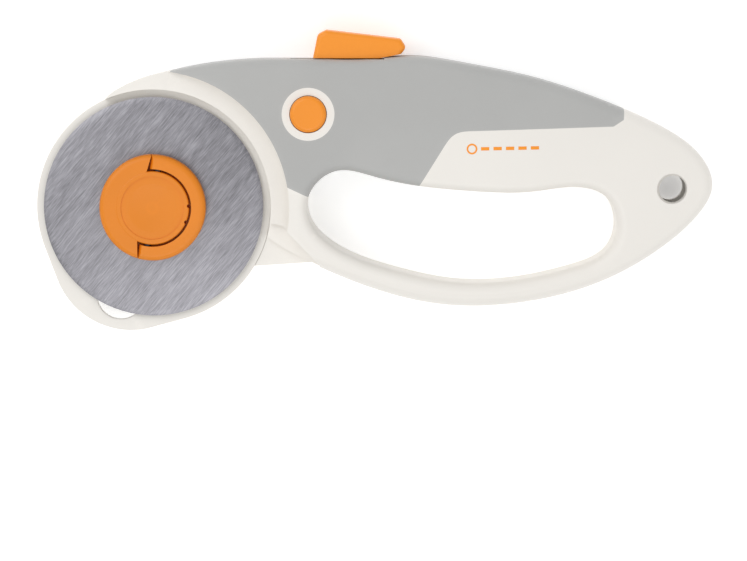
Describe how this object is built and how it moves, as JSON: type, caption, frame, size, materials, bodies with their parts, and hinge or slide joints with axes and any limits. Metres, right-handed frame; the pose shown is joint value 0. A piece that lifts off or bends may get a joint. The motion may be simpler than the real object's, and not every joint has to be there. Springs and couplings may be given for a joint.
{
  "type": "rotary cutter",
  "caption": "Rotary fabric cutter: large round blade behind a quick-release cap, lobed guard, thumb slider, lock button and a soft-gripped loop handle with a hang hole.",
  "frame": {"origin": "where the blade axis meets the flat back of the handle, which is the table plane when the cutter lies on its back", "axes": "+Z along the blade axis towards the blade side, +X along the handle to the tail, +Y towards the thumb slider"},
  "size_m": [0.1851, 0.0825, 0.0218],
  "materials": {
    "white_shell": "satin moulded",
    "grey_grip": "matte soft-touch",
    "guard_plastic": "satin moulded",
    "orange_plastic": "semi-gloss",
    "inner_plastic": "matte",
    "blade_steel": "fine ground",
    "plate_steel": "stamped",
    "screw_steel": "plain",
    "spring_steel": "plain",
    "brass_insert": "turned"
  },
  "bodies": {
    "handle": {"handle_front_shell": "white_shell", "handle_back_shell": "white_shell", "soft_grip_front": "grey_grip", "soft_grip_back": "grey_grip", "blade_guard": "guard_plastic", "guard_screws": "screw_steel", "case_screws": "screw_steel", "guide_pins": "screw_steel", "detent_spring": "spring_steel", "lock_retainer": "white_shell", "lock_spring": "spring_steel"},
    "slider": {"thumb_slider": "orange_plastic", "slider_pins": "screw_steel", "slide_plate": "plate_steel"},
    "carriage": {"blade_carriage": "plate_steel", "follower_pin": "screw_steel", "blade_axle": "screw_steel", "spacer_bush": "inner_plastic", "pressure_washer": "plate_steel"},
    "blade": {"blade": "blade_steel"},
    "cap": {"release_cap": "orange_plastic", "cap_nut": "brass_insert", "lever_pins": "screw_steel"},
    "lever": {"cap_lever": "orange_plastic"},
    "button": {"lock_button": "orange_plastic"}
  },
  "joints": [
    {"name": "slider_slide", "type": "slide", "parent": "handle", "child": "slider", "axis": [-1, 0, 0], "range_m": [0, 0.011]},
    {"name": "carriage_slide", "type": "slide", "parent": "handle", "child": "carriage", "axis": [-0.454, -0.891, 0], "range_m": [0, 0.0099]},
    {"name": "blade_spin", "type": "hinge", "parent": "carriage", "child": "blade", "pos_m": [0, 0, 0.01183], "axis": [0, 0, 1], "continuous": true},
    {"name": "cap_turn", "type": "hinge", "parent": "carriage", "child": "cap", "pos_m": [0, 0, 0.015], "axis": [0, 0, 1], "range_deg": [0, 90]},
    {"name": "lever_flip", "type": "hinge", "parent": "cap", "child": "lever", "pos_m": [0, 0, 0.0156], "axis": [-0.1392, -0.9903, 0], "range_deg": [0, 90]},
    {"name": "button_press", "type": "slide", "parent": "handle", "child": "button", "axis": [0, 0, -1], "range_m": [0, 0.0022], "stiffness_N_per_m": 400, "deforming": ["lock_spring"]}
  ],
  "couplings": [
    {"joint": "carriage_slide", "follows": "slider_slide", "ratio": 0.9}
  ]
}
